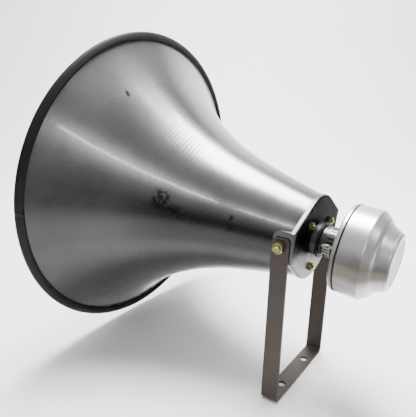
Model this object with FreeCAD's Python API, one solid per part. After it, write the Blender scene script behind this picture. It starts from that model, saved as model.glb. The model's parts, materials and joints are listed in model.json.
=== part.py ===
import FreeCAD, Part
import math
import os

# Re-entrant horn loudspeaker with a compression driver, carried on a U-bracket. Millimetres.
# Row frame: origin midway between the two bracket bolt holes, on the bracket's underside.
# +Z is up, +Y runs towards the driver, and the horn's mouth faces -Y. The tilt axis lies along X.
# Horn frame: y is counted along the horn's axis from its mouth, and the axis is at x = z = 0.

# General
OVERRUN = 5.0
HEX_FACE = 0.95
RUNNING_GAP = 0.05

# Bracket
BRACKET_WIDTH = 25.0
BRACKET_SHEET = 3.0
LEG_GAP = 160.0
PIVOT_HEIGHT = 236.0
LEG_TOP = 248.0
LEG_CORNER = 6.0
BRACKET_BEND = 5.0
BASE_HOLE_SPACING = 80.0
BASE_HOLE_R = 6.0

# Tilt hinge
TILT = 5.5
PIVOT_Y = 320.5
PIVOT_ABOVE_AXIS = 4.0
PIVOT_BOLT_R = 4.75
PIVOT_HEX = 14.3
PIVOT_NUT_HEIGHT = 8.3
PIVOT_HEAD_HEIGHT = 6.0
PIVOT_BOLT_END = 2.5
WASHER = 2.0
WASHER_R = 10.0
WASHER_GAP = 0.2
BOLT_CHAMFER = 1.0
THREAD_LEAD = 0.9

# Bell
BELL_SHEET = 1.5
MOUTH_R = 246.6
MOUTH_ANGLE = 55.0
WAIST_Y = 225.0
WAIST_ANGLE = 15.5
REAR_Y = 336.4
REAR_ANGLE = 12.1
BELL_OPENING_R = 38.0

# Mouth trim: a rubber edging with a round lip
TRIM_THICK = 9.0
TRIM_REAR_OFFSET = 2.0
TRIM_GRIP = 3.4
TRIM_LIP = 3.2

# Rear plate, with two ears for the tilt bolts
PLATE_SHEET = 1.6
PLATE_R = 63.0
PLATE_RIM = 7.0
PLATE_EDGE = 3.0
EAR_HALF_HEIGHT = 21.5
EAR_REACH = 13.0
EAR_CORNER = 11.0
EAR_X = LEG_GAP / 2 - 2 * RUNNING_GAP
GUSSET_REACH = 16.0
GUSSET_DEPTH = 9.0
WASHER_X = EAR_X - PLATE_SHEET - 2 * RUNNING_GAP
NUT_X = LEG_GAP / 2 + BRACKET_SHEET

# Studs that carry the reflector
STUD_PCD_R = 44.0
STUD_R = 3.0
STUD_HOLE_R = 3.2
STUD_HEX = 10.0
STUD_NUT_HEIGHT = 5.0
STUD_END = 2.0
STUD_CHAMFER = 0.8
STUD_ANGLES = (-82.0, 38.0, 158.0)

# Reflector and tone tube
REFLECTOR_SHEET = 1.2
REFLECTOR_REAR_Y = 308.0
REFLECTOR_REAR_R = 37.0
REFLECTOR_FLANGE_R = 52.0
REFLECTOR_FRONT_R = 31.0
REFLECTOR_TIP_Y = 118.0
TUBE_FRONT_Y = 168.0
TUBE_FRONT_R = 20.0
THROAT_R = 12.5
TUBE_WALL = 2.0
TUBE_REAR_R = 16.0
TUBE_FLANGE = 4.0
TUBE_FLANGE_R = 52.0
BOSS_R = 24.0
BOSS_GAP = 0.4
BOSS_END_Y = 346.0
NECK_R = 17.4
NECK_CHAMFER = 1.0
NECK_END_Y = 368.0

# Throat gasket and hose clamp
THROAT_GASKET_R = 26.0
HUB_Y = 349.5
HUB_R = 21.5
HUB_ROOT = 4.0
HUB_CHAMFER = 0.8
HUB_SLIT = 1.6
HUB_SLIT_END_Y = 365.5
CLAMP_BAND = 0.8
CLAMP_WIDTH = 12.0
CLAMP_Y = 363.5
CLAMP_TURN = -5.0
CLAMP_SLOT_PITCH = 15
CLAMP_SLOT_FROM = 16
CLAMP_SLOT_TO = 332
CLAMP_SLOT_SIZE = (2.3, 8.6)
CLAMP_BLOCK = (8.8, 15.5, 11.0)
CLAMP_BLOCK_CORNER = 3.0
CLAMP_SLIT = (10.0, 1.2)
CLAMP_SLIT_Z = (-1.8, 1.8)
CLAMP_SCREW_R = 3.2
CLAMP_SCREW_X = 26.6
CLAMP_SCREW_END = 1.5
CLAMP_HEAD_HEX = 8.0
CLAMP_HEAD = 4.0
CLAMP_HEAD_SLOT = (1.2, 1.5)
WORM_PITCH = 2.0
WORM_GROOVE = (0.6, 0.8)
WORM_GROOVES = 6
WORM_START = 1.7

# Driver
DRIVER_R = 62.3
FRONT_Y = 379.5
FRONT_CORNER = 3.0
SEAM_Y = 385.3
SEAM_GASKET = 2.4
CYLINDER_END_Y = 418.0
CAP_Y = 430.5
CAP_R = 50.0
DRIVER_END_Y = 449.0
HOUSING_WALL = 4.0
HOUSING_BOSS_R = 4.4
HOUSING_BOSS = 14.0
HOUSING_HOLE = 11.0
CAP_LEDGE = 5.0
CAP_LEDGE_DEPTH = 4.0
CAP_WALL = 3.0
SEAM_INSET = 2.5
SEAM_PROUD = 0.3
SEAT_Y = 387.5
THROAT_STOP_Y = 368.1
THROAT_CONE_Y = 369.2
DOME_RIM_R = 27.0
DOME_CLEARANCE = 0.6
DOME_R = 25.3
DOME_INNER_R = 24.5
DOME_RISE = 7.0
FILM = 0.5
SURROUND_R = 38.0
SPACER_R = 31.0
COIL_WALL = 0.3
COIL_WIRE = 0.4
COIL_END = 8.0
WINDING_START = 1.0
WINDING_END = 7.0
POLE_R = 24.9
POLE_CHAMFER = 0.8
POLE_INSET = 1.0
GAP_R = 26.4
MOTOR_R = 50.0
MOTOR_CLEARANCE = 1.0
PLUG_R = 20.5
PLUG_GAP = 1.1
PLUG_EDGE = 2.0
PLUG_TIP_Y = 360.0
WEB = 2.4
WEB_Y = (371.0, 383.5)
WEB_ANGLES = (90, 210, 330)
TOP_PLATE_Y = 389.0
TOP_PLATE = 6.0
MAGNET = 18.0
MAGNET_R = 52.0
MAGNET_BORE_R = 32.0
BACK_PLATE = 5.0
HOUSING_SCREW_PCD_R = 57.0
HOUSING_SCREW_ANGLES = (20, 110, 200, 290)
MOTOR_SCREW_PCD_R = 43.0
MOTOR_SCREW_ANGLES = (65, 185, 305)
SCREW_R = 2.0
SCREW_HEAD_R = 3.5
SCREW_HEAD_DEPTH = 2.2
SCREW_HEAD_GAP = 0.1
SCREW_RECESS = 0.2
SCREW_SLOT = (1.0, 1.2)
SCREW_LENGTH = 10.0
NAMEPLATE_R = 30.0
NAMEPLATE = 0.6
NAMEPLATE_RECESS = 0.8
TERMINAL_BOARD = (48.0, 3.0, 18.0)
TERMINAL_CORNER = 3.0
TERMINAL_X = (-14, 14)
TERMINAL_R = 2.0
TERMINAL_HEX = 7.0
TERMINAL_POST = 8.0
TERMINAL_NUT = 3.0
GROMMET_BORE_R = 3.2
GROMMET_R = 5.5
GROMMET_FLANGE_R = 7.5
GROMMET_FLANGE = 2.2
GROMMET_EDGE = 0.9
GROMMET_INSET = 2.5
GROMMET_Y = 402.0

ROOT3 = math.sqrt(3.0)


def vec(x, y, z=0.0):
    return FreeCAD.Vector(x, y, z)


def turned(*steps):
    """Solid of revolution about the horn's axis. A step is a point (r, y) or an arc (mid, end)."""
    start = vec(*steps[0])
    here = start
    edges = []
    for step in steps[1:]:
        if isinstance(step[0], tuple):
            there = vec(*step[1])
            edges.append(Part.Arc(here, vec(*step[0]), there).toShape())
        else:
            there = vec(*step)
            edges.append(Part.LineSegment(here, there).toShape())
        here = there
    if here.distanceToPoint(start) > 1e-6:
        edges.append(Part.LineSegment(here, start).toShape())
    return Part.Face(Part.Wire(edges)).revolve(vec(0, 0), vec(0, 1), 360)


def ring(r_in, r_out, y_from, y_to):
    return turned((r_in, y_from), (r_out, y_from), (r_out, y_to), (r_in, y_to))


def rod(r, start, end):
    direction = end - start
    return Part.makeCylinder(r, direction.Length, start, direction)


def hexagon(across_flats, start, end):
    """Hexagonal prism from start to end, with its corners chamfered by a cone at the far end."""
    length = (end - start).Length
    points = [vec(x, y) for x, y in around(range(0, 420, 60), across_flats / ROOT3)]
    prism = Part.Face(Part.makePolygon(points)).extrude(vec(0, 0, length))
    face_r = across_flats / 2 * HEX_FACE
    cone = Part.makeCone(face_r + length * ROOT3, face_r, length)
    prism = prism.common(cone)
    prism.Placement = FreeCAD.Placement(start, FreeCAD.Rotation(vec(0, 0, 1), end - start))
    return prism


def box(x, y, z):
    """Box between the two values of each pair."""
    return Part.makeBox(x[1] - x[0], y[1] - y[0], z[1] - z[0], vec(x[0], y[0], z[0]))


def around(angles, radius):
    """Points on a circle about the origin, as pairs."""
    turns = [math.radians(a) for a in angles]
    return [(radius * math.cos(t), radius * math.sin(t)) for t in turns]


def rods_along_axis(places, r, y_from, y_to):
    return [rod(r, vec(x, y_from, z), vec(x, y_to, z)) for x, z in places]


def cut_all(shape, tools):
    return shape.cut(Part.makeCompound(tools))


def stud_holes(y_from, y_to):
    return rods_along_axis(around(STUD_ANGLES, STUD_PCD_R), STUD_HOLE_R, y_from - OVERRUN, y_to + OVERRUN)


def slab(points, along):
    """Flat plate with the given corners, thickened along a vector."""
    return Part.Face(Part.makePolygon(points + points[:1])).extrude(along)


def to_row(shape):
    """Carries a shape from the horn frame to the row frame, with the mouth tilted up."""
    moved = shape.copy()
    moved.translate(vec(0, -PIVOT_Y, -PIVOT_ABOVE_AXIS))
    moved.rotate(vec(0, 0), vec(1, 0), -TILT)
    moved.translate(vec(0, 0, PIVOT_HEIGHT))
    return moved


# The bell's wall is two tangent arcs. Both centres lie outside the wall, so an inner surface
# has the same centre and a larger radius.

FLARE_RADIUS = WAIST_Y / (math.sin(math.radians(MOUTH_ANGLE)) - math.sin(math.radians(WAIST_ANGLE)))
FLARE_CENTRE = (MOUTH_R + FLARE_RADIUS * math.cos(math.radians(MOUTH_ANGLE)),
                FLARE_RADIUS * math.sin(math.radians(MOUTH_ANGLE)))
TAPER_SPREAD = math.sin(math.radians(WAIST_ANGLE)) - math.sin(math.radians(REAR_ANGLE))
TAPER_RADIUS = (REAR_Y - WAIST_Y) / TAPER_SPREAD
TAPER_SHIFT = TAPER_RADIUS - FLARE_RADIUS
TAPER_CENTRE = (FLARE_CENTRE[0] + TAPER_SHIFT * math.cos(math.radians(WAIST_ANGLE)),
                FLARE_CENTRE[1] + TAPER_SHIFT * math.sin(math.radians(WAIST_ANGLE)))


def wall_point(centre, radius, angle):
    turn = math.radians(angle)
    return (centre[0] - radius * math.cos(turn), centre[1] - radius * math.sin(turn))


def flare_point(angle, inset):
    return wall_point(FLARE_CENTRE, FLARE_RADIUS + inset, angle)


def taper_point(angle, inset):
    return wall_point(TAPER_CENTRE, TAPER_RADIUS + inset, angle)


def taper_angle_at(y, inset):
    return math.degrees(math.asin((TAPER_CENTRE[1] - y) / (TAPER_RADIUS + inset)))


def make_horn_bell():
    flange_y = REAR_Y - BELL_SHEET
    mid_flare = (MOUTH_ANGLE + WAIST_ANGLE) / 2
    mid_taper = (WAIST_ANGLE + REAR_ANGLE) / 2
    inner_end = taper_angle_at(flange_y, BELL_SHEET)
    bell = turned(
        flare_point(MOUTH_ANGLE, 0),
        (flare_point(mid_flare, 0), flare_point(WAIST_ANGLE, 0)),
        (taper_point(mid_taper, 0), taper_point(REAR_ANGLE, 0)),
        (BELL_OPENING_R, REAR_Y),
        (BELL_OPENING_R, flange_y),
        taper_point(inner_end, BELL_SHEET),
        (taper_point(mid_taper, BELL_SHEET), taper_point(WAIST_ANGLE, BELL_SHEET)),
        (flare_point(mid_flare, BELL_SHEET), flare_point(MOUTH_ANGLE, BELL_SHEET)))
    return cut_all(bell, stud_holes(flange_y, REAR_Y))


def make_mouth_trim(bell):
    """Edging with a round lip, pressed over the bell's edge."""
    edge = flare_point(MOUTH_ANGLE, BELL_SHEET / 2)
    out = (math.sin(math.radians(MOUTH_ANGLE)), -math.cos(math.radians(MOUTH_ANGLE)))
    half = TRIM_THICK / 2

    def at(along, across):
        off = across + TRIM_REAR_OFFSET
        return (edge[0] + along * out[0] - off * out[1], edge[1] + along * out[1] + off * out[0])

    grip = turned(at(-TRIM_GRIP, -half), at(TRIM_LIP, -half),
                  (at(TRIM_LIP + half, 0), at(TRIM_LIP, half)),
                  at(-TRIM_GRIP, half),
                  (at(-TRIM_GRIP - half / 2, 0), at(-TRIM_GRIP, -half)))
    return grip.cut(bell)


def plate_outline(inset, y_from, y_to):
    """Disc joined by straight tangents to the corners of the two ears, as a solid along the axis."""
    radius = PLATE_R - inset
    disc = Part.makeCylinder(radius, y_to - y_from, vec(0, y_from), vec(0, 1))
    corner_x = EAR_X - inset
    points = []
    for side_x, side_z in ((1, 1), (1, -1), (-1, -1), (-1, 1)):
        corner_z = PIVOT_ABOVE_AXIS + side_z * (EAR_HALF_HEIGHT - inset)
        reach = math.hypot(corner_x, corner_z)
        touch = math.atan2(abs(corner_z), corner_x) + math.acos(radius / reach)
        tangent = vec(side_x * radius * math.cos(touch), y_from, side_z * radius * math.sin(touch))
        corner = vec(side_x * corner_x, y_from, corner_z)
        points += [tangent, corner] if side_x == side_z else [corner, tangent]
    return disc.fuse(slab(points, vec(0, y_to - y_from))).removeSplitter()


def ear_tab(side):
    """Flat tab about the tilt axis, round-cornered at its front, and its two gussets."""
    low_x, high_x = EAR_X - PLATE_SHEET, EAR_X
    root_y = REAR_Y - PLATE_EDGE
    front_y = PIVOT_Y - EAR_REACH
    low_z = PIVOT_ABOVE_AXIS - EAR_HALF_HEIGHT
    high_z = PIVOT_ABOVE_AXIS + EAR_HALF_HEIGHT
    tab = box((low_x, high_x), (front_y, root_y), (low_z, high_z))
    front_edges = [e for e in tab.Edges if e.BoundBox.YMax < front_y + RUNNING_GAP]
    tab = tab.makeFillet(EAR_CORNER, [e for e in front_edges if e.BoundBox.XLength > PLATE_SHEET / 2])
    for z in (low_z, high_z - PLATE_SHEET):
        corners = [vec(high_x, root_y, z),
                   vec(high_x, root_y - GUSSET_REACH, z),
                   vec(high_x - GUSSET_DEPTH, root_y, z)]
        tab = tab.fuse(slab(corners, vec(0, 0, PLATE_SHEET)))
    axis_start = vec(0, PIVOT_Y, PIVOT_ABOVE_AXIS)
    tab = tab.cut(rod(PIVOT_BOLT_R + RUNNING_GAP, axis_start, axis_start + vec(2 * EAR_X, 0)))
    return tab if side > 0 else tab.mirror(vec(0, 0), vec(1, 0))


def make_ear_plate():
    face_y = REAR_Y + PLATE_SHEET
    plate = plate_outline(0, face_y - PLATE_RIM, face_y)
    rim_edges = [e for e in plate.Edges if e.BoundBox.YMin > face_y - RUNNING_GAP]
    plate = plate.makeFillet(PLATE_EDGE, rim_edges)
    plate = plate.cut(plate_outline(PLATE_SHEET, face_y - 2 * PLATE_RIM, REAR_Y))
    plate = plate.cut(rod(BOSS_R + BOSS_GAP, vec(0, REAR_Y - OVERRUN), vec(0, face_y + OVERRUN)))
    plate = cut_all(plate, stud_holes(REAR_Y, face_y))
    for side in (1, -1):
        plate = plate.fuse(ear_tab(side))
    return plate.removeSplitter()


def make_tone_tube():
    flange_front = REAR_Y - BELL_SHEET - TUBE_FLANGE
    flange_rear = REAR_Y - BELL_SHEET
    tube = turned(
        (TUBE_FRONT_R, TUBE_FRONT_Y),
        (TUBE_FRONT_R + TUBE_WALL, TUBE_FRONT_Y),
        (TUBE_REAR_R, flange_front),
        (TUBE_FLANGE_R, flange_front),
        (TUBE_FLANGE_R, flange_rear),
        (BOSS_R, flange_rear),
        (BOSS_R, BOSS_END_Y),
        (NECK_R, BOSS_END_Y),
        (NECK_R, NECK_END_Y - NECK_CHAMFER),
        (NECK_R - NECK_CHAMFER, NECK_END_Y),
        (THROAT_R, NECK_END_Y))
    return cut_all(tube, stud_holes(flange_front, flange_rear))


def reflector_profile(inset):
    """Tangent point, mid arc point and tip of the reflector's round nose, for one surface."""
    slope = math.atan2(REFLECTOR_REAR_R - REFLECTOR_FRONT_R, REFLECTOR_REAR_Y - REFLECTOR_TIP_Y)
    radius = REFLECTOR_FRONT_R / math.cos(slope)
    centre_y = REFLECTOR_TIP_Y + radius
    radius -= inset
    half = (math.pi / 2 + slope) / 2
    touch = (radius * math.cos(slope), centre_y - radius * math.sin(slope))
    middle = (radius * math.sin(half), centre_y - radius * math.cos(half))
    tip = (0.0, centre_y - radius)
    rear_r = touch[0] + (REFLECTOR_REAR_Y - touch[1]) * math.tan(slope)
    return touch, middle, tip, rear_r


def make_reflector_cone():
    touch, middle, tip, rear_r = reflector_profile(0)
    touch_in, middle_in, tip_in, rear_in = reflector_profile(REFLECTOR_SHEET)
    flange_y = REFLECTOR_REAR_Y + REFLECTOR_SHEET
    cone = turned(
        tip,
        (middle, touch),
        (rear_r, REFLECTOR_REAR_Y),
        (REFLECTOR_FLANGE_R, REFLECTOR_REAR_Y),
        (REFLECTOR_FLANGE_R, flange_y),
        (rear_in, flange_y),
        (rear_in, REFLECTOR_REAR_Y),
        touch_in,
        (middle_in, tip_in))
    return cut_all(cone, stud_holes(REFLECTOR_REAR_Y, flange_y))


def make_reflector_spacers():
    front = REFLECTOR_REAR_Y + REFLECTOR_SHEET
    rear = REAR_Y - BELL_SHEET - TUBE_FLANGE
    tubes = rods_along_axis(around(STUD_ANGLES, STUD_PCD_R), STUD_HEX / 2, front, rear)
    return [tube.cut(hole) for tube, hole in zip(tubes, stud_holes(front, rear))]


def make_reflector_studs():
    front = REFLECTOR_REAR_Y - STUD_NUT_HEIGHT - STUD_END
    rear = REAR_Y + PLATE_SHEET + STUD_NUT_HEIGHT + STUD_END
    studs = []
    for stud in rods_along_axis(around(STUD_ANGLES, STUD_PCD_R), STUD_R, front, rear):
        ends = [e for e in stud.Edges if e.BoundBox.YLength < RUNNING_GAP]
        studs.append(stud.makeChamfer(STUD_CHAMFER, ends))
    return studs


def hex_nut(across_flats, bore_r, start, end):
    """Nut with a lead-in at the far end of its bore."""
    reach = end - start
    nut = hexagon(across_flats, start, end).cut(rod(bore_r, start - reach, end + reach))
    lead = Part.makeCone(bore_r + THREAD_LEAD, bore_r, THREAD_LEAD, end, start - end)
    return nut.cut(lead)


def make_stud_nuts(y_from, y_to):
    return [hex_nut(STUD_HEX, STUD_R, vec(x, y_from, z), vec(x, y_to, z))
            for x, z in around(STUD_ANGLES, STUD_PCD_R)]


def about_axis(shape, angle):
    """Turns a shape about the horn's axis, from +X towards +Z."""
    copy = shape.copy()
    copy.rotate(vec(0, 0), vec(0, 1), -angle)
    return copy


def make_clamp_band():
    """Slotted steel band about the driver's hub."""
    band = ring(HUB_R, HUB_R + CLAMP_BAND, CLAMP_Y - CLAMP_WIDTH / 2, CLAMP_Y + CLAMP_WIDTH / 2)
    across, along = CLAMP_SLOT_SIZE
    reach_y = (CLAMP_Y - along / 2, CLAMP_Y + along / 2)
    slot = box((HUB_R - CLAMP_BAND, HUB_R + 2 * CLAMP_BAND), reach_y, (-across / 2, across / 2))
    turns = range(CLAMP_SLOT_FROM, CLAMP_SLOT_TO, CLAMP_SLOT_PITCH)
    return cut_all(band, [about_axis(slot, turn) for turn in turns])


def make_clamp_housing():
    """Worm housing that straddles the band, with two slits over the worm."""
    deep, wide, tall = CLAMP_BLOCK
    low_x = HUB_R - BOSS_GAP
    rim_r = HUB_R + CLAMP_BAND
    sides = (CLAMP_Y - wide / 2, CLAMP_Y + wide / 2)
    block = box((low_x, rim_r + deep), sides, (-tall / 2, tall / 2))
    upright = [e for e in block.Edges if e.BoundBox.ZLength > tall / 2]
    block = block.makeFillet(CLAMP_BLOCK_CORNER, [e for e in upright if e.BoundBox.XMin > rim_r])
    block = block.cut(rod(rim_r, vec(0, CLAMP_Y - wide), vec(0, CLAMP_Y + wide)))
    low_end = vec(CLAMP_SCREW_X, CLAMP_Y, -tall)
    high_end = vec(CLAMP_SCREW_X, CLAMP_Y, tall)
    block = block.cut(rod(CLAMP_SCREW_R + RUNNING_GAP, low_end, high_end))
    along, across = CLAMP_SLIT
    slit_y = (CLAMP_Y - along / 2, CLAMP_Y + along / 2)
    slits = [box((CLAMP_SCREW_X, 2 * CLAMP_SCREW_X), slit_y, (z - across / 2, z + across / 2))
             for z in CLAMP_SLIT_Z]
    return about_axis(cut_all(block, slits), CLAMP_TURN)


def make_clamp_screw():
    """Worm screw along Z, with grooves and a slotted hexagon head below the housing."""
    tall = CLAMP_BLOCK[2]
    top = vec(CLAMP_SCREW_X, CLAMP_Y, tall / 2 + CLAMP_SCREW_END)
    seat = vec(CLAMP_SCREW_X, CLAMP_Y, -tall / 2 - 2 * RUNNING_GAP)
    foot = seat - vec(0, 0, CLAMP_HEAD)
    screw = rod(CLAMP_SCREW_R, seat, top)
    deep, wide = WORM_GROOVE
    grooves = []
    for i in range(WORM_GROOVES):
        start = vec(top.x, top.y, seat.z + WORM_START + WORM_PITCH * i)
        end = start + vec(0, 0, wide)
        grooves.append(rod(CLAMP_SCREW_R + deep, start, end).cut(rod(CLAMP_SCREW_R - deep, start, end)))
    head = hexagon(CLAMP_HEAD_HEX, seat, foot)
    across, sunk = CLAMP_HEAD_SLOT
    slot = box((top.x - CLAMP_HEAD_HEX, top.x + CLAMP_HEAD_HEX),
               (top.y - across / 2, top.y + across / 2),
               (foot.z - sunk, foot.z + sunk))
    return about_axis(cut_all(screw, grooves).fuse(head).cut(slot), CLAMP_TURN)


def screw_places():
    housing = around(HOUSING_SCREW_ANGLES, HOUSING_SCREW_PCD_R)
    motor = around(MOTOR_SCREW_ANGLES, MOTOR_SCREW_PCD_R)
    return housing, motor


def make_front_housing():
    """Hub that screws over the throat neck, and the front half of the driver's case."""
    bore = NECK_R + RUNNING_GAP
    nip = 1 - math.sqrt(0.5)
    bend = FRONT_CORNER * nip
    root = HUB_ROOT * nip
    shell = turned(
        (bore, HUB_Y),
        (HUB_R - HUB_CHAMFER, HUB_Y),
        (HUB_R, HUB_Y + HUB_CHAMFER),
        (HUB_R, FRONT_Y - HUB_ROOT),
        ((HUB_R + root, FRONT_Y - root), (HUB_R + HUB_ROOT, FRONT_Y)),
        (DRIVER_R - FRONT_CORNER, FRONT_Y),
        ((DRIVER_R - bend, FRONT_Y + bend), (DRIVER_R, FRONT_Y + FRONT_CORNER)),
        (DRIVER_R, SEAM_Y),
        (MOTOR_R + MOTOR_CLEARANCE, SEAM_Y),
        (MOTOR_R + MOTOR_CLEARANCE, SEAT_Y),
        (DOME_RIM_R + DOME_CLEARANCE, SEAT_Y),
        (THROAT_R, THROAT_CONE_Y),
        (THROAT_R, THROAT_STOP_Y),
        (bore, THROAT_STOP_Y))
    slit = (-HUB_SLIT / 2, HUB_SLIT / 2)
    tools = [box((-2 * HUB_R, 2 * HUB_R), (HUB_Y - OVERRUN, HUB_SLIT_END_Y), slit)]
    for places in screw_places():
        seat = FRONT_Y + SCREW_HEAD_DEPTH
        tools += rods_along_axis(places, SCREW_HEAD_R + SCREW_HEAD_GAP, FRONT_Y - OVERRUN, seat)
        tools += rods_along_axis(places, SCREW_R, FRONT_Y - OVERRUN, SEAT_Y + OVERRUN)
    return cut_all(shell, tools)


def make_screws(places, end_y):
    """Cheese-head screws driven in from the front of the driver."""
    screws = []
    seat = FRONT_Y + SCREW_HEAD_DEPTH
    across, deep = SCREW_SLOT
    for x, z in places:
        head = rod(SCREW_HEAD_R, vec(x, FRONT_Y + SCREW_RECESS, z), vec(x, seat, z))
        slot = box((x - 2 * SCREW_HEAD_R, x + 2 * SCREW_HEAD_R),
                   (FRONT_Y, FRONT_Y + deep),
                   (z - across / 2, z + across / 2))
        shank = rod(SCREW_R, vec(x, seat, z), vec(x, end_y, z))
        screws.append(head.cut(slot).fuse(shank))
    return screws


def make_seam_gasket():
    end = SEAM_Y + SEAM_GASKET
    gasket = ring(MOTOR_R + SEAM_INSET, DRIVER_R + SEAM_PROUD, SEAM_Y, end)
    places, _ = screw_places()
    return cut_all(gasket, rods_along_axis(places, SCREW_R, SEAM_Y - OVERRUN, end + OVERRUN))


def rear_housing_shell():
    """Cylinder with a sloping shoulder and a ledge for the cap."""
    inner = DRIVER_R - HOUSING_WALL
    ledge_r = CAP_R - CAP_LEDGE
    return turned(
        (inner, SEAM_Y + SEAM_GASKET),
        (DRIVER_R, SEAM_Y + SEAM_GASKET),
        (DRIVER_R, CYLINDER_END_Y - 1),
        ((DRIVER_R - 0.4, CYLINDER_END_Y + 0.6), (DRIVER_R - 1.6, CYLINDER_END_Y + 2)),
        (CAP_R + 5, CAP_Y - 3.5),
        ((CAP_R + 2.6, CAP_Y - 1.4), (CAP_R, CAP_Y)),
        (ledge_r, CAP_Y),
        (ledge_r, CAP_Y - CAP_LEDGE_DEPTH),
        (CAP_R, CYLINDER_END_Y + 2),
        (inner, CYLINDER_END_Y - HOUSING_WALL))


def make_rear_housing():
    """The case's rear half, with four screw bosses and the cable hole."""
    start = SEAM_Y + SEAM_GASKET
    shell = rear_housing_shell()
    places, _ = screw_places()
    keep = rod(DRIVER_R - SEAM_PROUD, vec(0, start), vec(0, CAP_Y))
    for boss in rods_along_axis(places, HOUSING_BOSS_R, start, start + HOUSING_BOSS):
        shell = shell.fuse(boss.common(keep))
    tools = rods_along_axis(places, SCREW_R, start - OVERRUN, start + HOUSING_HOLE)
    inside = vec(HOUSING_WALL + GROMMET_INSET - DRIVER_R + OVERRUN, GROMMET_Y)
    tools.append(rod(GROMMET_R, inside, vec(-DRIVER_R - OVERRUN, GROMMET_Y)))
    return cut_all(shell, tools).removeSplitter()


def make_rear_cap():
    """Conical cap with a recess for the blank nameplate disc."""
    inner_y = DRIVER_END_Y - CAP_WALL
    spigot_r = CAP_R - CAP_LEDGE - RUNNING_GAP
    recess_r = NAMEPLATE_R + NAMEPLATE_RECESS
    recess_y = DRIVER_END_Y - NAMEPLATE_RECESS
    return turned(
        (0, inner_y),
        (34, inner_y),
        (43, CAP_Y + CAP_WALL),
        (CAP_R - 9, CAP_Y - CAP_LEDGE_DEPTH),
        (spigot_r, CAP_Y - CAP_LEDGE_DEPTH),
        (spigot_r, CAP_Y),
        (CAP_R - 0.8, CAP_Y),
        ((CAP_R - 3.0, CAP_Y + 2.6), (CAP_R - 4.4, CAP_Y + 5.0)),
        (40.6, DRIVER_END_Y - 4.2),
        ((39.2, DRIVER_END_Y - 1.3), (36.4, DRIVER_END_Y)),
        (recess_r, DRIVER_END_Y),
        (recess_r, recess_y),
        (0, recess_y))


def dome_radius():
    return (DOME_R ** 2 + DOME_RISE ** 2) / (2 * DOME_RISE)


def dome_arc(rim_r, offset):
    """Mid point and apex of a cap concentric with the diaphragm's front, from its rim radius."""
    radius = dome_radius() + offset
    centre_y = SEAT_Y - DOME_RISE + dome_radius()
    half = math.asin(rim_r / radius) / 2
    rim = (rim_r, centre_y - radius * math.cos(2 * half))
    middle = (radius * math.sin(half), centre_y - radius * math.cos(half))
    return rim, middle, (0.0, centre_y - radius)


def make_diaphragm():
    rim, middle, apex = dome_arc(DOME_R, 0)
    rim_in, middle_in, apex_in = dome_arc(DOME_INNER_R, -FILM)
    return turned(
        apex,
        (middle, rim),
        (DOME_RIM_R, SEAT_Y),
        (DOME_RIM_R, SEAT_Y + FILM),
        (DOME_INNER_R, SEAT_Y + FILM),
        rim_in,
        (middle_in, apex_in))


def make_phase_plug(front_housing):
    """Bullet in front of the diaphragm, held in the throat by three webs."""
    rim, middle, apex = dome_arc(PLUG_R, PLUG_GAP)
    plug = turned(
        (0, PLUG_TIP_Y),
        ((4.6, PLUG_TIP_Y + 3.5), (7.0, PLUG_TIP_Y + 9)),
        (PLUG_R, rim[1] - PLUG_EDGE),
        rim,
        (middle, apex))
    outer_r = DOME_RIM_R + DOME_CLEARANCE
    limit = turned((0, THROAT_CONE_Y), (THROAT_R, THROAT_CONE_Y), (outer_r, SEAT_Y), (0, SEAT_Y))
    end_y = SEAT_Y + OVERRUN
    cavity = turned(apex, (middle, rim), (SURROUND_R, rim[1]), (SURROUND_R, end_y), (0, end_y))
    web = box((0, outer_r), WEB_Y, (-WEB / 2, WEB / 2))
    for turn in WEB_ANGLES:
        plug = plug.fuse(about_axis(web, -turn).common(limit).cut(cavity).cut(front_housing))
    return plug.removeSplitter()


def make_back_plate_and_pole():
    plate_y = TOP_PLATE_Y + TOP_PLATE + MAGNET
    pole_y = TOP_PLATE_Y + POLE_INSET
    return turned(
        (0, pole_y),
        (POLE_R - POLE_CHAMFER, pole_y),
        (POLE_R, pole_y + POLE_CHAMFER),
        (POLE_R, plate_y),
        (MOTOR_R, plate_y),
        (MOTOR_R, plate_y + BACK_PLATE),
        (0, plate_y + BACK_PLATE))


def make_terminal_board():
    y = TOP_PLATE_Y + TOP_PLATE + MAGNET + BACK_PLATE
    wide, thick, tall = TERMINAL_BOARD
    board = box((-wide / 2, wide / 2), (y, y + thick), (-tall / 2, tall / 2))
    corners = [e for e in board.Edges if e.BoundBox.YLength > thick / 2]
    return board.makeFillet(TERMINAL_CORNER, corners)


def make_terminal_posts():
    y = TOP_PLATE_Y + TOP_PLATE + MAGNET + BACK_PLATE + TERMINAL_BOARD[1]
    posts = []
    for x in TERMINAL_X:
        post = rod(TERMINAL_R, vec(x, y), vec(x, y + TERMINAL_POST))
        posts.append(post.fuse(hexagon(TERMINAL_HEX, vec(x, y), vec(x, y + TERMINAL_NUT))))
    return posts


def make_cable_grommet():
    """Rubber bush in the case wall, on the side facing -X."""
    inner = vec(HOUSING_WALL + GROMMET_INSET - DRIVER_R, GROMMET_Y)
    outer = vec(-DRIVER_R - GROMMET_FLANGE, GROMMET_Y)
    bush = rod(GROMMET_R, inner, outer)
    flange = rod(GROMMET_FLANGE_R, vec(SEAM_PROUD - DRIVER_R, GROMMET_Y), outer)
    face_edges = [e for e in flange.Edges if e.BoundBox.XMax < outer.x + RUNNING_GAP]
    flange = flange.makeFillet(GROMMET_EDGE, face_edges)
    reach = vec(0, DRIVER_R)
    shape = bush.fuse(flange.cut(rod(DRIVER_R, vec(0, GROMMET_Y) - reach, vec(0, GROMMET_Y) + reach)))
    run = vec(OVERRUN, 0)
    return shape.cut(rod(GROMMET_BORE_R, inner + run, outer - run))


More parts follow.
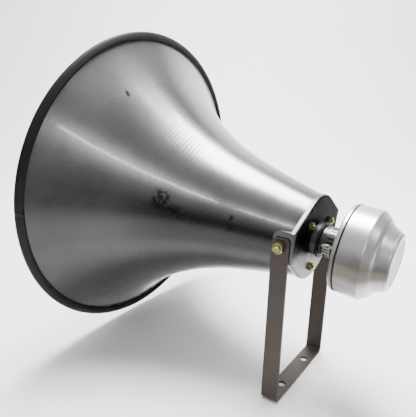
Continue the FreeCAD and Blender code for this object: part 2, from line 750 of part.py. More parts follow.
def u_profile(x, low, bend):
    """Half of the strip's outline: down one leg, round two bends and up the other."""
    nip = bend * (1 - math.sqrt(0.5))
    lines = [Part.LineSegment(vec(-x, 0, LEG_TOP), vec(-x, 0, low + bend)),
             Part.Arc(vec(-x, 0, low + bend), vec(-x + nip, 0, low + nip), vec(-x + bend, 0, low)),
             Part.LineSegment(vec(-x + bend, 0, low), vec(x - bend, 0, low)),
             Part.Arc(vec(x - bend, 0, low), vec(x - nip, 0, low + nip), vec(x, 0, low + bend)),
             Part.LineSegment(vec(x, 0, low + bend), vec(x, 0, LEG_TOP))]
    return [line.toShape() for line in lines]


def make_u_bracket():
    """Flat strip bent to a U, with round-cornered leg tops."""
    half = LEG_GAP / 2
    out = half + BRACKET_SHEET
    edges = u_profile(out, 0, BRACKET_BEND + BRACKET_SHEET) + u_profile(half, BRACKET_SHEET, BRACKET_BEND)
    for side in (1, -1):
        end = Part.LineSegment(vec(side * half, 0, LEG_TOP), vec(side * out, 0, LEG_TOP))
        edges.append(end.toShape())
    strip = Part.Face(Part.Wire(Part.__sortEdges__(edges))).extrude(vec(0, BRACKET_WIDTH))
    strip.translate(vec(0, -BRACKET_WIDTH / 2))
    top_edges = [e for e in strip.Edges if e.BoundBox.ZMin > LEG_TOP - RUNNING_GAP]
    strip = strip.makeFillet(LEG_CORNER, [e for e in top_edges if e.BoundBox.XLength > BRACKET_SHEET / 2])
    pivot = rod(PIVOT_BOLT_R + RUNNING_GAP, vec(-2 * out, 0, PIVOT_HEIGHT), vec(2 * out, 0, PIVOT_HEIGHT))
    strip = strip.cut(pivot)
    for x in (-BASE_HOLE_SPACING / 2, BASE_HOLE_SPACING / 2):
        strip = strip.cut(rod(BASE_HOLE_R, vec(x, 0, -OVERRUN), vec(x, 0, BRACKET_SHEET + OVERRUN)))
    return strip


def both_sides(shape):
    return [shape, shape.mirror(vec(0, 0), vec(1, 0))]


def make_pivot_bolts():
    seat = vec(WASHER_X - WASHER, 0, PIVOT_HEIGHT)
    head = hexagon(PIVOT_HEX, seat, seat - vec(PIVOT_HEAD_HEIGHT, 0))
    end_x = NUT_X + PIVOT_NUT_HEIGHT + PIVOT_BOLT_END
    shank = rod(PIVOT_BOLT_R, seat, vec(end_x, 0, PIVOT_HEIGHT))
    tip = [e for e in shank.Edges if e.BoundBox.XMin > end_x - RUNNING_GAP]
    return both_sides(head.fuse(shank.makeChamfer(BOLT_CHAMFER, tip)))


def make_pivot_washers():
    start = vec(WASHER_X - WASHER, 0, PIVOT_HEIGHT)
    end = vec(WASHER_X, 0, PIVOT_HEIGHT)
    reach = vec(OVERRUN, 0)
    bore = rod(PIVOT_BOLT_R + WASHER_GAP, start - reach, end + reach)
    return both_sides(rod(WASHER_R, start, end).cut(bore))


def make_pivot_nuts():
    start = vec(NUT_X, 0, PIVOT_HEIGHT)
    return both_sides(hex_nut(PIVOT_HEX, PIVOT_BOLT_R, start, start + vec(PIVOT_NUT_HEIGHT, 0)))


def horn_parts():
    bell = make_horn_bell()
    face_y = REAR_Y + PLATE_SHEET
    front_nut = REFLECTOR_REAR_Y - STUD_NUT_HEIGHT
    return {
        "horn_bell": [bell],
        "mouth_trim": [make_mouth_trim(bell)],
        "ear_plate": [make_ear_plate()],
        "tone_tube": [make_tone_tube()],
        "reflector_cone": [make_reflector_cone()],
        "reflector_spacers": make_reflector_spacers(),
        "reflector_studs": make_reflector_studs(),
        "stud_rear_nuts": make_stud_nuts(face_y, face_y + STUD_NUT_HEIGHT),
        "stud_front_nuts": make_stud_nuts(REFLECTOR_REAR_Y, front_nut),
        "throat_gasket": [ring(NECK_R + RUNNING_GAP, THROAT_GASKET_R, BOSS_END_Y, HUB_Y)],
    }


def make_top_plate():
    end_y = TOP_PLATE_Y + TOP_PLATE
    _, places = screw_places()
    plate = ring(GAP_R, MOTOR_R, TOP_PLATE_Y, end_y)
    return cut_all(plate, rods_along_axis(places, SCREW_R, TOP_PLATE_Y - OVERRUN, end_y - 0.5))


def motor_parts():
    coil_y = SEAT_Y + FILM
    coil_r = DOME_R + COIL_WALL
    magnet_y = TOP_PLATE_Y + TOP_PLATE
    winding = (TOP_PLATE_Y + WINDING_START, TOP_PLATE_Y + WINDING_END)
    return {
        "diaphragm_surround": [ring(DOME_RIM_R + 2 * RUNNING_GAP, SURROUND_R, SEAT_Y, coil_y)],
        "surround_spacer": [ring(SPACER_R, SURROUND_R, coil_y, TOP_PLATE_Y)],
        "diaphragm": [make_diaphragm()],
        "coil_former": [ring(DOME_R, coil_r, coil_y, TOP_PLATE_Y + COIL_END)],
        "coil_winding": [ring(coil_r, coil_r + COIL_WIRE, *winding)],
        "top_plate": [make_top_plate()],
        "ferrite_magnet": [ring(MAGNET_BORE_R, MAGNET_R, magnet_y, magnet_y + MAGNET)],
        "back_plate_and_pole": [make_back_plate_and_pole()],
        "terminal_board": [make_terminal_board()],
        "terminal_posts": make_terminal_posts(),
    }


def case_parts():
    front = make_front_housing()
    housing_places, motor_places = screw_places()
    disc_y = DRIVER_END_Y - NAMEPLATE_RECESS
    return {
        "clamp_band": [make_clamp_band()],
        "clamp_housing": [make_clamp_housing()],
        "clamp_screw": [make_clamp_screw()],
        "driver_front_housing": [front],
        "phase_plug": [make_phase_plug(front)],
        "housing_screws": make_screws(housing_places, SEAM_Y + SEAM_GASKET + SCREW_LENGTH),
        "motor_screws": make_screws(motor_places, TOP_PLATE_Y + TOP_PLATE - 1),
        "seam_gasket": [make_seam_gasket()],
        "driver_rear_housing": [make_rear_housing()],
        "rear_cap": [make_rear_cap()],
        "nameplate_disc": [rod(NAMEPLATE_R, vec(0, disc_y), vec(0, disc_y + NAMEPLATE))],
        "cable_grommet": [make_cable_grommet()],
    }


def bracket_parts():
    return {
        "u_bracket": [make_u_bracket()],
        "pivot_bolts": make_pivot_bolts(),
        "pivot_washers": make_pivot_washers(),
        "pivot_nuts": make_pivot_nuts(),
    }


def save(name, solids):
    shape = solids[0] if len(solids) == 1 else Part.makeCompound(solids)
    bad = [s for s in solids if not s.isValid() or len(s.Solids) != 1]
    print(name, "volume %.0f mm3" % shape.Volume, "CHECK THIS ONE" if bad else "ok")
    shape.exportStep("parts/%s.step" % name)


def main():
    os.makedirs("parts", exist_ok=True)
    tilted = horn_parts()
    tilted.update(case_parts())
    tilted.update(motor_parts())
    for name, solids in tilted.items():
        save(name, [to_row(s) for s in solids])
    for name, solids in bracket_parts().items():
        save(name, solids)


main()
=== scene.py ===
import json
import math

import bpy
from mathutils import Matrix, Vector


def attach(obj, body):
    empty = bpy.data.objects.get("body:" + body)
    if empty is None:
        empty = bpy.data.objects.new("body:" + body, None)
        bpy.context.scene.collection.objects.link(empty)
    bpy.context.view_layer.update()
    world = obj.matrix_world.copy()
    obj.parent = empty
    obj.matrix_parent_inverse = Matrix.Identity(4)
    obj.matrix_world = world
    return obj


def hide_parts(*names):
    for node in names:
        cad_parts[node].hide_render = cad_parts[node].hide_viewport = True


# A horn loudspeaker on its bracket. Metres, in the row frame of the CAD model.
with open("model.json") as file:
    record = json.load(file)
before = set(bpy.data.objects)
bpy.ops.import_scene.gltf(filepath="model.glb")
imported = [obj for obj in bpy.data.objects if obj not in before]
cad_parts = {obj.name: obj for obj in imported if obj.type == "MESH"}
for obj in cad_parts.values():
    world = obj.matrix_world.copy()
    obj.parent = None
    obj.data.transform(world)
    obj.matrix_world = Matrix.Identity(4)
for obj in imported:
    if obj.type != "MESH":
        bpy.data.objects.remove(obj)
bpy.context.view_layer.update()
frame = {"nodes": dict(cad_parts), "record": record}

# Horn frame: x across, y from the mouth along the horn's axis, z up, with the axis at x = z = 0.
PIVOT_Y = 0.3205
PIVOT_ABOVE_AXIS = 0.004
PLATE_REAR_Y = 0.338
HUB_RADIUS = 0.0215
JOINTS = {joint["name"]: joint for joint in frame["record"]["behaviour"]["joints"]}
PIVOT = Vector(JOINTS["horn_tilt"]["pos_m"])
AXIS = Vector(JOINTS["diaphragm_travel"]["axis"]).normalized()
ACROSS = Vector((1, 0, 0))
UP = ACROSS.cross(AXIS)
MOUTH = PIVOT - PIVOT_Y * AXIS - PIVOT_ABOVE_AXIS * UP


# ---------------------------------------------------------------- node materials

class Shader:
    """One material, built node by node. Values are numbers, colours or the output of another node."""

    def __init__(self, name):
        self.material = bpy.data.materials.new(name)
        self.material.use_nodes = True
        self.tree = self.material.node_tree
        self.surface = self.tree.nodes["Principled BSDF"]
        self.place = self.node("ShaderNodeTexCoord").outputs["Object"]

    def node(self, kind, **settings):
        made = self.tree.nodes.new(kind)
        for key, value in settings.items():
            setattr(made, key, value)
        return made

    def feed(self, socket, value):
        if isinstance(value, bpy.types.NodeSocket):
            self.tree.links.new(value, socket)
        else:
            socket.default_value = value

    def set(self, **values):
        for key, value in values.items():
            self.feed(self.surface.inputs[key.replace("_", " ")], value)

    def math(self, operation, a, b=0.0, clamp=False):
        made = self.node("ShaderNodeMath", operation=operation, use_clamp=clamp)
        self.feed(made.inputs[0], a)
        self.feed(made.inputs[1], b)
        return made.outputs[0]

    def vector(self, operation, a, b):
        made = self.node("ShaderNodeVectorMath", operation=operation)
        self.feed(made.inputs[0], a)
        self.feed(made.inputs["Scale" if operation == "SCALE" else 1], b)
        return made.outputs["Value" if operation in ("DOT_PRODUCT", "LENGTH") else "Vector"]

    def noise(self, scale, detail=3.0, roughness=0.5, place=None):
        made = self.node("ShaderNodeTexNoise")
        self.feed(made.inputs["Vector"], place or self.place)
        self.feed(made.inputs["Scale"], scale)
        self.feed(made.inputs["Detail"], detail)
        self.feed(made.inputs["Roughness"], roughness)
        return made.outputs["Fac"]

    def ramp(self, value, low, high, out_low=0.0, out_high=1.0):
        """Smooth step from out_low, at low and below it, to out_high, at high and above it."""
        made = self.node("ShaderNodeMapRange", interpolation_type="SMOOTHSTEP")
        for socket, number in zip(made.inputs, (value, low, high, out_low, out_high)):
            self.feed(socket, number)
        return made.outputs["Result"]

    def mix(self, amount, a, b):
        made = self.node("ShaderNodeMix", data_type="RGBA")
        for name, value in (("Factor_Float", amount), ("A_Color", a), ("B_Color", b)):
            socket = next(s for s in made.inputs if s.identifier == name)
            self.feed(socket, value)
        return next(s for s in made.outputs if s.identifier == "Result_Color")

    def bump(self, height, strength, distance, normal=None):
        made = self.node("ShaderNodeBump")
        self.feed(made.inputs["Height"], height)
        self.feed(made.inputs["Strength"], strength)
        self.feed(made.inputs["Distance"], distance)
        if normal:
            self.feed(made.inputs["Normal"], normal)
        return made.outputs["Normal"]

    def product(self, a, b):
        return self.math("MULTIPLY", a, b)

    def horn_coordinates(self):
        """The shaded point's x, y and z in the horn frame and its distance from the axis, in metres."""
        offset = self.vector("SUBTRACT", self.place, tuple(MOUTH))
        x = self.vector("DOT_PRODUCT", offset, tuple(ACROSS))
        y = self.vector("DOT_PRODUCT", offset, tuple(AXIS))
        z = self.vector("DOT_PRODUCT", offset, tuple(UP))
        radius = self.math("SQRT", self.math("ADD", self.product(x, x), self.product(z, z)))
        return x, y, z, radius

    def spot(self, centre, reach, edge=0.0):
        """1 at a row-frame point, falling to 0 at the reach given along the horn's three axes."""
        offset = self.vector("SUBTRACT", self.place, tuple(centre))
        squares = []
        for axis, length in zip((ACROSS, AXIS, UP), reach):
            along = self.math("DIVIDE", self.vector("DOT_PRODUCT", offset, tuple(axis)), length)
            squares.append(self.product(along, along))
        total = self.math("ADD", self.math("ADD", squares[0], squares[1]), squares[2])
        return self.ramp(total, edge, 1.0, 1.0, 0.0)

    def combine(self, x, y, z):
        made = self.node("ShaderNodeCombineXYZ")
        for socket, value in zip(made.inputs, (x, y, z)):
            self.feed(socket, value)
        return made.outputs[0]


# Smudges left by handling, as (x, y, z) in the horn frame and their reach along its axes, in metres.
HANDLING_MARKS = (
    ((0.117, 0.142, 0.028), (0.04, 0.015, 0.019)),
    ((0.108, 0.164, 0.013), (0.04, 0.020, 0.011)),
    ((0.082, 0.241, 0.010), (0.03, 0.006, 0.018)),
    ((0.095, 0.190, 0.004), (0.03, 0.016, 0.008)),
    ((0.097, 0.050, 0.161), (0.003, 0.012, 0.013)),
)


def horn_place(x, y, z):
    return MOUTH + ACROSS * x + AXIS * y + UP * z


def grey(value):
    return (value, value, value, 1.0)


def scuffs(s, strength):
    """Amount of dark scuffing at the handling marks, 0 to 1."""
    mottle = s.ramp(s.noise(150.0, 3.0, 0.7), 0.44, 0.53)
    amount = 0.0
    for place, reach in HANDLING_MARKS:
        mark = s.product(s.spot(horn_place(*place), reach, 0.1), mottle)
        amount = s.math("MAXIMUM", amount, s.math("MULTIPLY", mark, strength, True))
    return amount


def painted_reflection(s, x, y, z, radius):
    """Painted reflection: brightness painted into the colour, lighter on top and darker at its sides
    and below.
    """
    height = s.math("DIVIDE", z, radius)
    lit_tone = s.math("ADD", s.ramp(height, -0.05, 0.45, 0.17, 1.0), s.ramp(height, -0.6, -0.2, 0.22, 0.0))
    level = s.math("ABSOLUTE", s.math("ADD", height, 0.06))
    # Painted dark reflection along both sides, and on the half away from +X.
    side = s.product(s.ramp(level, 0.14, 0.36, 0.85, 0.0), s.ramp(y, 0.06, 0.17))
    far = s.product(s.ramp(s.math("DIVIDE", x, radius), 0.05, 0.4, 0.4, 0.0), s.ramp(y, 0.05, 0.12))
    return s.product(lit_tone, s.math("SUBTRACT", 1.0, s.math("MAXIMUM", side, far)))


def spun_aluminium(name, light, dark, smudges):
    """Spun sheet with fine turning lines, cloudy smudges, a few scuffs and a thin glossy coat."""
    s = Shader(name)
    x, y, z, radius = s.horn_coordinates()
    # Noise that hardly changes across the axis lies in rings round it, like turning lines.
    stretch = 0.02
    turned = s.combine(s.product(x, stretch), y, s.product(z, stretch))
    fine = s.noise(330.0, 1.0, 0.5, turned)
    broad = s.noise(90.0, 2.0, 0.5, turned)
    clouds = s.noise(9.0, 3.0, 0.55)
    blotches = s.ramp(s.noise(34.0, 3.0, 0.55), 0.5, 0.78)
    colour = s.mix(s.ramp(clouds, 0.32, 0.68), dark, light)
    colour = s.mix(s.product(blotches, 0.6 * smudges), colour, grey(0.09))
    colour = s.mix(scuffs(s, 2.6 * smudges), colour, grey(0.02))
    colour = s.mix(s.product(s.ramp(broad, 0.35, 0.7), 0.12), colour, grey(0.2))
    # The colour is scaled by the painted reflection: lighter on top, darker at the sides and below.
    colour = s.vector("SCALE", colour, painted_reflection(s, x, y, z, radius))
    normal = s.bump(broad, 0.03, 0.002, s.bump(fine, 0.02, 0.0004))
    s.set(Base_Color=colour, Metallic=0.85, Roughness=s.math("ADD", s.product(clouds, 0.1), 0.22),
          Normal=normal, Coat_Weight=0.45, Coat_Roughness=0.08, Coat_Normal=normal)
    return s.material


def plain_metal(name, colour, roughness, grain=220.0, dirt=0.35, metallic=1.0, specular=0.5):
    """Metal or paint with a fine grain, cloudy tone and a little grime."""
    s = Shader(name)
    clouds = s.noise(30.0, 4.0, 0.6)
    specks = s.noise(grain, 3.0, 0.6)
    shade = tuple(c * 0.62 for c in colour[:3]) + (1.0,)
    tone = s.mix(s.product(s.ramp(clouds, 0.4, 0.75), dirt), colour, shade)
    rough = s.math("ADD", roughness - 0.04, s.product(clouds, 0.08))
    s.set(Base_Color=tone, Metallic=metallic, Roughness=rough, Specular_IOR_Level=specular,
          Normal=s.bump(specks, 0.03, 0.0003))
    return s.material


def plate_steel(name):
    """Sheet steel, plain at the rim, ears and foot, with a painted dark reflection on the upper rear
    face.
    """
    s = Shader(name)
    x, y, z, _ = s.horn_coordinates()
    patch_noise = s.noise(34.0, 4.0, 0.6)
    line = s.math("ADD", s.math("ADD", z, s.product(patch_noise, 0.03)), s.product(x, -0.25))
    # Painted dark reflection: a near-black tone, and a darker specular tint, on the rear face above a
    # wavy line.
    painted_reflection_tone = s.mix(s.ramp(s.noise(110.0, 4.0, 0.65), 0.45, 0.7), grey(0.04), grey(0.065))
    unshaded_tone = s.mix(s.ramp(patch_noise, 0.35, 0.65), (0.09, 0.089, 0.094, 1), (0.07, 0.069, 0.073, 1))
    on_rear_face = s.ramp(y, PLATE_REAR_Y - 0.0014, PLATE_REAR_Y - 0.0004)
    painted_reflection_mask = s.product(s.ramp(line, -0.03, 0.0), on_rear_face)
    colour = s.mix(painted_reflection_mask, unshaded_tone, painted_reflection_tone)
    s.set(Base_Color=colour, Metallic=1.0, Roughness=s.math("ADD", 0.24, s.product(patch_noise, 0.1)),
          Specular_Tint=s.mix(painted_reflection_mask, grey(0.9), grey(0.36)),
          Normal=s.bump(s.noise(160.0), 0.05, 0.0004))
    return s.material


def silver_paint(name):
    """Bright silver paint, with a painted reflection, greyer and warmer, along the sides, and darker on
    the hub.
    """
    s = Shader(name)
    _, _, z, radius = s.horn_coordinates()
    clouds = s.noise(24.0, 4.0, 0.6)
    height = s.math("ADD", s.math("DIVIDE", z, radius), s.product(clouds, 0.14))
    level = s.math("ABSOLUTE", s.math("ADD", height, 0.06))
    lit_tone = s.mix(clouds, (0.46, 0.45, 0.455, 1), (0.54, 0.53, 0.535, 1))
    # Painted reflection: a darker, warmer tone along the sides of the driver.
    painted_side_shade = s.mix(clouds, (0.075, 0.066, 0.056, 1), (0.105, 0.094, 0.082, 1))
    rough = s.math("ADD", 0.29, s.product(clouds, 0.06))
    shell = s.mix(s.ramp(level, 0.1, 0.5), painted_side_shade, lit_tone)
    colour = s.mix(s.ramp(radius, HUB_RADIUS + 0.001, HUB_RADIUS + 0.0055), grey(0.07), shell)
    s.set(Base_Color=colour, Metallic=0.75, Roughness=rough,
          Normal=s.bump(s.noise(240.0), 0.03, 0.0003), Coat_Weight=0.15, Coat_Roughness=0.15)
    return s.material


def clamp_steel(name):
    """Bright strip, with painted shade in its slots."""
    s = Shader(name)
    radius = s.horn_coordinates()[3]
    bright = s.mix(s.noise(60.0, 4.0, 0.6), (0.1, 0.096, 0.09, 1), (0.16, 0.154, 0.145, 1))
    # Painted shade in the slots: below the strip's top the colour is near-black and not metallic.
    above_slots = s.ramp(radius, HUB_RADIUS + 0.00028, HUB_RADIUS + 0.00042)
    s.set(Base_Color=s.mix(above_slots, grey(0.004), bright), Metallic=above_slots, Roughness=0.34,
          Normal=s.bump(s.noise(260.0), 0.04, 0.0003))
    return s.material


def rubber(name):
    """Matt black rubber with a little dust."""
    s = Shader(name)
    grain = s.noise(420.0, 3.0, 0.6)
    dust = s.noise(26.0, 5.0, 0.65)
    colour = s.mix(s.product(s.ramp(dust, 0.5, 0.8), 0.35), grey(0.004), grey(0.02))
    s.set(Base_Color=colour, Roughness=s.math("ADD", 0.42, s.product(dust, 0.25)),
          Specular_IOR_Level=0.18, Normal=s.bump(grain, 0.18, 0.0006))
    return s.material


def yellow_zinc(name):
    """Yellow passivated zinc, with its faint rainbow patches."""
    s = Shader(name)
    patches = s.noise(160.0, 3.0, 0.6)
    colour = s.mix(s.ramp(patches, 0.42, 0.62), (0.19, 0.165, 0.05, 1), (0.34, 0.32, 0.17, 1))
    s.set(Base_Color=colour, Metallic=1.0, Roughness=s.math("ADD", 0.22, s.product(patches, 0.2)),
          Normal=s.bump(patches, 0.1, 0.0004))
    return s.material


MATERIALS = {
    "spun_aluminium": spun_aluminium(
        "spun_aluminium", (0.205, 0.2, 0.196, 1), (0.165, 0.16, 0.156, 1), 0.5),
    "inner_aluminium": spun_aluminium("inner_aluminium", grey(0.6), grey(0.5), 0.2),
    "cast_aluminium": plain_metal("cast_aluminium", grey(0.12), 0.42, grain=500.0),
    "black_rubber": rubber("black_rubber"),
    "plate_steel": plate_steel("plate_steel"),
    "plain_steel": plain_metal("plain_steel", grey(0.22), 0.32),
    "bright_steel": clamp_steel("bright_steel"),
    "yellow_zinc": yellow_zinc("yellow_zinc"),
    "silver_paint": silver_paint("silver_paint"),
    "grey_brown_paint": plain_metal(
        "grey_brown_paint", (0.042, 0.032, 0.026, 1), 0.5,
        grain=300.0, dirt=0.3, metallic=0.1, specular=0.3),
    "blank_nameplate": plain_metal("blank_nameplate", grey(0.085), 0.25, grain=300.0, dirt=0.4),
    "phenolic": plain_metal(
        "phenolic", (0.2, 0.09, 0.04, 1), 0.5, grain=500.0, dirt=0.5, metallic=0.0),
    "copper_wire": plain_metal("copper_wire", (0.6, 0.28, 0.14, 1), 0.35),
    "ferrite": plain_metal("ferrite", grey(0.03), 0.6, grain=500.0, dirt=0.5, metallic=0.0),
    "terminal_brass": plain_metal("terminal_brass", (0.7, 0.52, 0.22, 1), 0.3),
}

for part in frame["record"]["subparts"]:
    node = frame["nodes"][part["node"]]
    node.data.materials.clear()
    node.data.materials.append(MATERIALS[part["material_slot"]])


# ---------------------------------------------------------------- pieces finer than the CAD model

def mesh_object(name, verts, faces, material, smooth=True):
    """A mesh linked to the scene, smooth shaded or flat."""
    data = bpy.data.meshes.new(name)
    data.from_pydata(verts, [], faces)
    data.update()
    data.polygons.foreach_set("use_smooth", [smooth] * len(data.polygons))
    data.materials.append(material)
    made = bpy.data.objects.new(name, data)
    bpy.context.scene.collection.objects.link(made)
    return made


def horn_point(radius, along, angle):
    """Row-frame point in metres, from millimetres and an angle in radians about the horn's axis."""
    flat = ACROSS * (radius * math.cos(angle)) + UP * (radius * math.sin(angle))
    return MOUTH + (flat + AXIS * along) * 0.001


def lathe(rows, angles, closed):
    """Vertices and faces of a closed outline swept round the axis, a full turn or capped at its ends.

    Each row gives (radius, along) in millimetres at an angle.
    """
    verts = [horn_point(*row(angle), angle) for angle in angles for row in rows]
    count, turns = len(rows), len(angles)
    faces = []
    for j in range(turns if closed else turns - 1):
        here, there = j * count, (j + 1) % turns * count
        for i in range(count):
            k = (i + 1) % count
            faces.append((here + i, here + k, there + k, there + i))
    if not closed:
        faces.append(tuple(range(count)))
        faces.append(tuple(reversed(range((turns - 1) * count, turns * count))))
    return verts, faces


def add_piece(name, verts, faces, slot, body, replaced, smooth=True):
    """A finer piece that stands for a CAD node."""
    piece = mesh_object(name, verts, faces, MATERIALS[slot], smooth)
    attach(piece, body)
    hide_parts(replaced)


# The bell's wall is two tangent arcs, as in the CAD model, in millimetres.
SHEET = 1.5
MOUTH_R, MOUTH_ANGLE = 246.6, math.radians(55.0)
WAIST_Y, WAIST_ANGLE = 225.0, math.radians(15.5)
REAR_Y, REAR_ANGLE = 336.4, math.radians(12.1)
REAR_HOLE_R = 38.0
FLARE_R = WAIST_Y / (math.sin(MOUTH_ANGLE) - math.sin(WAIST_ANGLE))
FLARE_CENTRE = (MOUTH_R + FLARE_R * math.cos(MOUTH_ANGLE), FLARE_R * math.sin(MOUTH_ANGLE))
TAPER_R = (REAR_Y - WAIST_Y) / (math.sin(WAIST_ANGLE) - math.sin(REAR_ANGLE))
TAPER_CENTRE = (FLARE_CENTRE[0] + (TAPER_R - FLARE_R) * math.cos(WAIST_ANGLE),
                FLARE_CENTRE[1] + (TAPER_R - FLARE_R) * math.sin(WAIST_ANGLE))


# The outside is sunk by RELIEF, which keeps the ripple inside the CAD wall. Both fade at the edges.
RELIEF = 0.2
EDGE_FADE = 15.0
WORKED_Y, WORKED_REACH = 165.0, 45.0
FLARE_STEPS, TAPER_STEPS, TURN_STEPS = 300, 120, 180
INNER_STEP = 12


def wall(slope, inset):
    """(radius, along) of the wall where its slope to the axis is this, inset into the sheet."""
    centre, radius = (FLARE_CENTRE, FLARE_R) if slope >= WAIST_ANGLE else (TAPER_CENTRE, TAPER_R)
    radius += inset
    return centre[0] - radius * math.cos(slope), centre[1] - radius * math.sin(slope)


def ripple(along, angle):
    """Tool marks and slight unevenness of the spun wall, in millimetres."""
    worked = math.exp(-((along - WORKED_Y) / WORKED_REACH) ** 2)
    marks = (0.006 + 0.028 * worked) * math.sin(along * 1.25 + 0.8 * math.sin(along * 0.11))
    waves = 0.05 * math.sin(along * 0.105 + 0.7 * math.sin(2 * angle + 1.0))
    dents = 0.08 * math.sin(3 * angle + along * 0.021) * math.sin(2 * angle - along * 0.013 + 2.0)
    return marks + waves + dents


def fixed(radius, along):
    """A row with the same radius all the way round."""
    return lambda angle: (radius, along)


def bell():
    """Spun wall with the tool's marks outside, a plain inside and the rear wall's round hole."""
    slopes = []
    for slope_from, slope_to, steps in ((MOUTH_ANGLE, WAIST_ANGLE, FLARE_STEPS),
                                        (WAIST_ANGLE, REAR_ANGLE, TAPER_STEPS)):
        slopes += [slope_from + (slope_to - slope_from) * i / steps for i in range(steps)]
    slopes.append(REAR_ANGLE)

    def outer(slope):
        radius, along = wall(slope, 0.0)
        fade = min(1.0, along / EDGE_FADE, max(0.0, (REAR_Y - along) / EDGE_FADE))
        return lambda angle: (radius - fade * (RELIEF - ripple(along, angle)), along)

    rows = [outer(slope) for slope in slopes]
    rows += [fixed(REAR_HOLE_R, REAR_Y), fixed(REAR_HOLE_R, REAR_Y - SHEET)]
    rows += [fixed(*wall(slope, SHEET)) for slope in reversed(slopes[::INNER_STEP])
             if wall(slope, SHEET)[1] < REAR_Y - SHEET]
    angles = [2 * math.pi * j / TURN_STEPS for j in range(TURN_STEPS)]
    verts, faces = lathe(rows, angles, True)
    add_piece("bell_spun_wall", verts, faces, "spun_aluminium", "horn", "horn_bell")


def trim():
    """Rubber edging in one length, its two ends butted on the side facing +X."""
    edge = wall(MOUTH_ANGLE, SHEET / 2)
    out = (math.sin(MOUTH_ANGLE), -math.cos(MOUTH_ANGLE))
    # Half the thickness, the lip's and the grip's reach past the edge, and the shift outwards.
    half, lip, grip, shift = 4.5, 3.2, 3.4, 2.0
    lip_steps, grip_steps, grip_roundness = 12, 10, 0.5
    outline = []
    for i in range(lip_steps + 1):
        turn = math.radians(-90 + 180 / lip_steps * i)
        outline.append((lip + half * math.cos(turn), half * math.sin(turn)))
    for i in range(grip_steps + 1):
        turn = math.radians(180 / grip_steps * i)
        outline.append((-grip - grip_roundness * half * math.sin(turn), half * math.cos(turn)))

    def section(along, across):
        """Row of one outline point, with the slight unevenness of rubber pressed on by hand."""
        def at(angle):
            sag = 0.25 * math.sin(5 * angle) + 0.15 * math.sin(11 * angle + 1.0)
            off = across * (1 + 0.03 * math.sin(7 * angle)) + shift
            reach = along - 0.35 + 0.6 * sag
            return edge[0] + reach * out[0] - off * out[1], edge[1] + reach * out[1] + off * out[0]
        return at

    seam, gap, steps = math.radians(-1.0), math.radians(0.13), 360
    span = 2 * math.pi - 2 * gap
    angles = [seam + gap + span * j / steps for j in range(steps + 1)]
    verts, faces = lathe([section(*point) for point in outline], angles, False)
    add_piece("trim_edging", verts, faces, "black_rubber", "horn", "mouth_trim")


def clamp_band():
    """Band with a recess for each worm slot, in millimetres about the hub."""
    hub_r, top_r, floor_r = HUB_RADIUS * 1000, 22.3, 21.66
    middle, half_width, half_slot, slot_width = 363.5, 6.0, 4.3, 2.3
    rounding, wall_slope = 0.15, 0.08
    half_turn = math.degrees(slot_width / 2 / top_r)
    wall_turn, clear_turn, tolerance = 0.12, 0.6, 0.01
    # Degrees: the slots stop short of the clamp's housing, which is at 0.
    first_slot, past_slots, pitch, turn_step = 16, 332, 15, 3
    slots = list(range(first_slot, past_slots, pitch))
    angles = {float(a) for a in range(0, 360, turn_step)}
    for slot in slots:
        angles -= {a for a in angles if abs(a - slot) < half_turn + clear_turn}
        angles |= {slot - half_turn - wall_turn, slot - half_turn, float(slot), slot + half_turn,
                   slot + half_turn + wall_turn}

    def recess(angle):
        turn = math.degrees(angle)
        return floor_r if any(abs(turn - slot) < half_turn + tolerance for slot in slots) else top_r

    def row(radius, along):
        return fixed(radius, middle + along)

    def slot_row(along):
        return lambda angle: (recess(angle), middle + along)

    shoulder_r, shoulder = top_r - rounding, half_width - rounding
    slot_edge = half_slot + wall_slope
    rows = [row(hub_r, -half_width), row(shoulder_r, -half_width), row(top_r, -shoulder),
            row(top_r, -slot_edge), slot_row(-half_slot), slot_row(half_slot), row(top_r, slot_edge),
            row(top_r, shoulder), row(shoulder_r, half_width), row(hub_r, half_width)]
    verts, faces = lathe(rows, [math.radians(a) for a in sorted(angles)], True)
    add_piece("clamp_band_slotted", verts, faces, "bright_steel", "horn", "clamp_band", False)


bell()
trim()
clamp_band()


# ---------------------------------------------------------------- floor, light and camera

# The floor sweeps up into a backdrop on the side away from the camera.
FLOOR_Z = -0.0005
SWEEP_START = 1.1
SWEEP_RADIUS = 0.8
BACKDROP_TOP = 2.6
SWEEP_STEPS = 24
FLOOR_FRONT = -3.0
DARK_PATCH = (-0.8, -0.28)
HALF_WIDTH = 4.0
AWAY = Vector((-0.82, -0.572, 0.0))
ALONG = Vector((0.572, -0.82, 0.0))


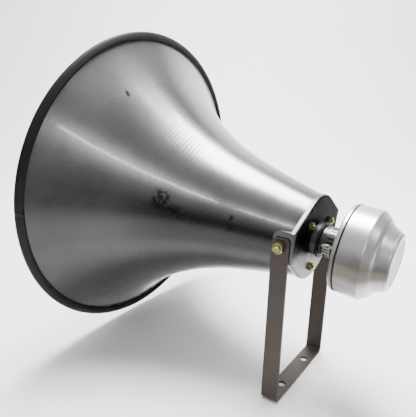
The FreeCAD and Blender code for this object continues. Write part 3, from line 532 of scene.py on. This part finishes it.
def floor():
    """Pale floor and backdrop, with a darker patch in front that the bell's underside reflects."""
    s = Shader("floor")
    pale = s.mix(s.noise(2.0), grey(0.92), grey(0.95))
    reach = s.vector("DOT_PRODUCT", s.place, tuple(AWAY))
    s.set(Base_Color=s.mix(s.ramp(reach, *DARK_PATCH), grey(0.16), pale), Roughness=0.85)
    profile = [(FLOOR_FRONT, FLOOR_Z), (SWEEP_START, FLOOR_Z)]
    for i in range(1, SWEEP_STEPS + 1):
        turn = i / SWEEP_STEPS * math.pi / 2
        profile.append((SWEEP_START + SWEEP_RADIUS * math.sin(turn),
                        FLOOR_Z + SWEEP_RADIUS * (1 - math.cos(turn))))
    profile.append((SWEEP_START + SWEEP_RADIUS, BACKDROP_TOP))
    verts = []
    for along in (-HALF_WIDTH, HALF_WIDTH):
        verts += [AWAY * reach + ALONG * along + Vector((0, 0, z)) for reach, z in profile]
    count = len(profile)
    faces = [(i, i + 1, count + i + 1, count + i) for i in range(count - 1)]
    mesh_object("floor", verts, faces, s.material)


def softbox(name, place, target, size, power):
    """A rectangular area light at a place, facing a target, with its power in watts."""
    data = bpy.data.lights.new(name, "AREA")
    data.shape = "RECTANGLE"
    data.size, data.size_y = size
    data.energy = power
    made = bpy.data.objects.new(name, data)
    made.location = place
    made.rotation_euler = (Vector(target) - Vector(place)).to_track_quat("-Z", "Y").to_euler()
    bpy.context.scene.collection.objects.link(made)


def lights():
    """A dim even studio, a large light overhead, a narrow strip for the bell's streak, and fill."""
    world = bpy.data.worlds.new("studio")
    world.use_nodes = True
    background = world.node_tree.nodes["Background"]
    background.inputs["Color"].default_value = grey(1.0)
    background.inputs["Strength"].default_value = 0.3
    bpy.context.scene.world = world
    softbox("overhead", (-0.35, -0.25, 2.2), (-0.35, -0.25, 0.0), (1.2, 1.0), 150)
    softbox("window", (1.94, 1.0, 1.42), (0, -0.1, 0.25), (2.0, 0.08), 16)
    softbox("backdrop", (-0.9, -0.5, 2.5), (-1.6, -1.1, 0.4), (1.0, 2.4), 80)
    softbox("rear", (-0.1, 2.2, 1.9), (0, 0.2, 0.25), (0.9, 0.6), 18)


# Camera fitted to the photo's perspective: its place, and its right and down directions.
CAMERA_PLACE = Vector((0.58315, 0.23388, 0.43940))
CAMERA_RIGHT = Vector((-0.578295, 0.815408, 0.026180))
CAMERA_DOWN = Vector((0.207610, 0.178121, -0.961858))
SENSOR = 36.0
LENS = 38.49


def camera():
    data = bpy.data.cameras.new("camera")
    data.lens = LENS
    data.sensor_width = SENSOR
    data.clip_start = 0.01
    made = bpy.data.objects.new("camera", data)
    back = CAMERA_RIGHT.cross(-CAMERA_DOWN)
    turn = Matrix((CAMERA_RIGHT, -CAMERA_DOWN, back)).transposed()
    made.matrix_world = Matrix.Translation(CAMERA_PLACE) @ turn.to_4x4()
    bpy.context.scene.collection.objects.link(made)
    bpy.context.scene.camera = made


floor()
lights()
camera()
bpy.context.view_layer.update()
